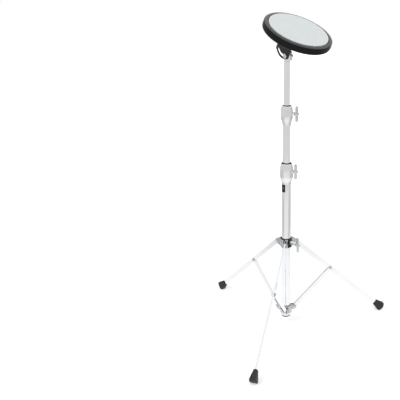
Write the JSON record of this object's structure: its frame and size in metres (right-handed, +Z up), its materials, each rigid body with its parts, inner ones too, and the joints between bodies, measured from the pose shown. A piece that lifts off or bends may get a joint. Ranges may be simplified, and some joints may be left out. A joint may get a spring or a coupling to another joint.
{
  "type": "practice pad stand",
  "caption": "Folding tripod stand with telescoping clamped tubes, a slotted tilting bracket and a round rubber-rimmed practice pad on a threaded stud.",
  "frame": {"origin": "on the floor, on the axis of the tubes", "axes": "+Z up along the tubes; the front leg points to -Y, the clamps' wing screws to +X"},
  "size_m": [0.547, 0.4792, 0.8854],
  "materials": {
    "chrome": "bright polished chrome plate",
    "chrome_cast": "chrome plate over a die casting",
    "zinc_steel": "bright zinc plate",
    "black_steel": "satin black powder coat",
    "black_plastic": "glossy black moulded plastic",
    "grey_plastic": "natural grey moulded plastic",
    "rubber": "matte black rubber",
    "foam": "dense grey foam rubber",
    "pad_face": "pale grey fine-textured rubber",
    "board": "dark-stained fibreboard",
    "label": "bare black film"
  },
  "bodies": {
    "base": {"base_tube": "chrome", "base_tube_cap": "black_plastic", "lower_hub": "chrome", "lower_pin_front": "zinc_steel", "lower_pin_right": "zinc_steel", "lower_pin_left": "zinc_steel", "label_plate": "label", "lower_clamp": "chrome_cast"},
    "strut_front": {"front_strut": "chrome", "front_rivet": "zinc_steel"},
    "leg_front": {"front_leg": "chrome", "front_foot": "rubber"},
    "leg_hub": {"hub_core": "black_plastic", "hub_screw_collar": "chrome_cast", "hub_clevis_front": "chrome", "hub_clevis_right": "chrome", "hub_clevis_left": "chrome", "hub_pin_front": "zinc_steel", "hub_pin_right": "zinc_steel", "hub_pin_left": "zinc_steel"},
    "leg_right": {"right_leg": "chrome", "right_foot": "rubber"},
    "leg_left": {"left_leg": "chrome", "left_foot": "rubber"},
    "strut_right": {"right_strut": "chrome", "right_rivet": "zinc_steel"},
    "strut_left": {"left_strut": "chrome", "left_rivet": "zinc_steel"},
    "hub_wing": {"hub_wing_screw": "chrome_cast"},
    "lower_wing": {"lower_wing_screw": "chrome_cast"},
    "lower_swivel": {"lower_clamp_bush": "black_plastic"},
    "middle_stage": {"middle_tube": "chrome", "middle_guide": "grey_plastic", "upper_clamp": "chrome_cast"},
    "upper_wing": {"upper_wing_screw": "chrome_cast"},
    "upper_swivel": {"upper_clamp_bush": "black_plastic"},
    "upper_stage": {"upper_tube": "chrome", "upper_guide": "grey_plastic", "head_block": "chrome_cast", "pivot_bolt": "chrome", "pivot_nut": "zinc_steel", "lock_washer": "zinc_steel", "lock_bolt": "chrome"},
    "wing_nut": {"tilt_wing_nut": "chrome_cast"},
    "bracket": {"tilt_bracket": "black_steel", "pad_stud": "black_steel", "stud_nut": "black_steel"},
    "pad": {"pad_insert": "zinc_steel", "pad_board": "board", "pad_foam": "foam", "pad_face": "pad_face", "pad_rim": "rubber"}
  },
  "joints": [
    {"name": "leg_fold", "type": "hinge", "parent": "base", "child": "strut_front", "pos_m": [0.0056, -0.0258, 0.04347], "axis": [-1, 0, 0], "range_deg": [0, 40]},
    {"name": "front_leg_pivot", "type": "hinge", "parent": "strut_front", "child": "leg_front", "pos_m": [0.0056, -0.13597, 0.15377], "axis": [-1, 0, 0], "range_deg": [-84.6, 0]},
    {"name": "hub_rise", "type": "hinge", "parent": "leg_front", "child": "leg_hub", "pos_m": [0.0056, -0.028, 0.2483], "axis": [-1, 0, 0], "range_deg": [0, 44.6]},
    {"name": "right_leg_pivot", "type": "hinge", "parent": "leg_hub", "child": "leg_right", "pos_m": [0.02145, 0.01885, 0.2483], "axis": [-0.5, 0.866, 0], "range_deg": [0, 44.6]},
    {"name": "right_strut_pivot", "type": "hinge", "parent": "base", "child": "strut_right", "pos_m": [0.01954, 0.01775, 0.04347], "axis": [0.5, -0.866, 0], "range_deg": [0, 40.1]},
    {"name": "left_leg_pivot", "type": "hinge", "parent": "leg_hub", "child": "leg_left", "pos_m": [-0.02705, 0.00915, 0.2483], "axis": [-0.5, -0.866, 0], "range_deg": [0, 44.6]},
    {"name": "left_strut_pivot", "type": "hinge", "parent": "base", "child": "strut_left", "pos_m": [-0.02514, 0.00805, 0.04347], "axis": [0.5, 0.866, 0], "range_deg": [0, 40.1]},
    {"name": "hub_wing_turn", "type": "hinge", "parent": "leg_hub", "child": "hub_wing", "pos_m": [0.03984, -0.023, 0.2523], "axis": [0.866, -0.5, 0], "continuous": true},
    {"name": "lower_wing_turn", "type": "hinge", "parent": "base", "child": "lower_wing", "pos_m": [0.026, 0, 0.45751], "axis": [1, 0, 0], "continuous": true},
    {"name": "middle_swivel", "type": "hinge", "parent": "base", "child": "lower_swivel", "pos_m": [0, 0, 0.45751], "axis": [0, 0, 1], "continuous": true},
    {"name": "middle_height", "type": "slide", "parent": "lower_swivel", "child": "middle_stage", "axis": [0, 0, 1], "range_m": [-0.102, 0.08]},
    {"name": "upper_wing_turn", "type": "hinge", "parent": "middle_stage", "child": "upper_wing", "pos_m": [0.0275, 0, 0.6176], "axis": [1, 0, 0], "continuous": true},
    {"name": "upper_swivel_turn", "type": "hinge", "parent": "middle_stage", "child": "upper_swivel", "pos_m": [0, 0, 0.6176], "axis": [0, 0, 1], "continuous": true},
    {"name": "upper_height", "type": "slide", "parent": "upper_swivel", "child": "upper_stage", "axis": [0, 0, 1], "range_m": [-0.11, 0.08]},
    {"name": "tilt_wing_nut_turn", "type": "hinge", "parent": "upper_stage", "child": "wing_nut", "pos_m": [0, 0, 0.77087], "axis": [0.5878, 0.809, 0], "continuous": true},
    {"name": "pad_tilt", "type": "hinge", "parent": "upper_stage", "child": "bracket", "pos_m": [0, 0, 0.80287], "axis": [0.5878, 0.809, 0], "range_deg": [-66, 5]},
    {"name": "pad_turn", "type": "hinge", "parent": "bracket", "child": "pad", "pos_m": [0.02165, 0.01171, 0.82098], "axis": [0.4094, -0.2974, 0.8625], "continuous": true}
  ],
  "couplings": [
    {"joint": "front_leg_pivot", "follows": "leg_fold", "ratio": -2.113},
    {"joint": "hub_rise", "follows": "leg_fold", "ratio": 1.113},
    {"joint": "right_leg_pivot", "follows": "leg_fold", "ratio": 1.113},
    {"joint": "left_leg_pivot", "follows": "leg_fold", "ratio": 1.113},
    {"joint": "right_strut_pivot", "follows": "leg_fold", "ratio": 1},
    {"joint": "left_strut_pivot", "follows": "leg_fold", "ratio": 1}
  ]
}
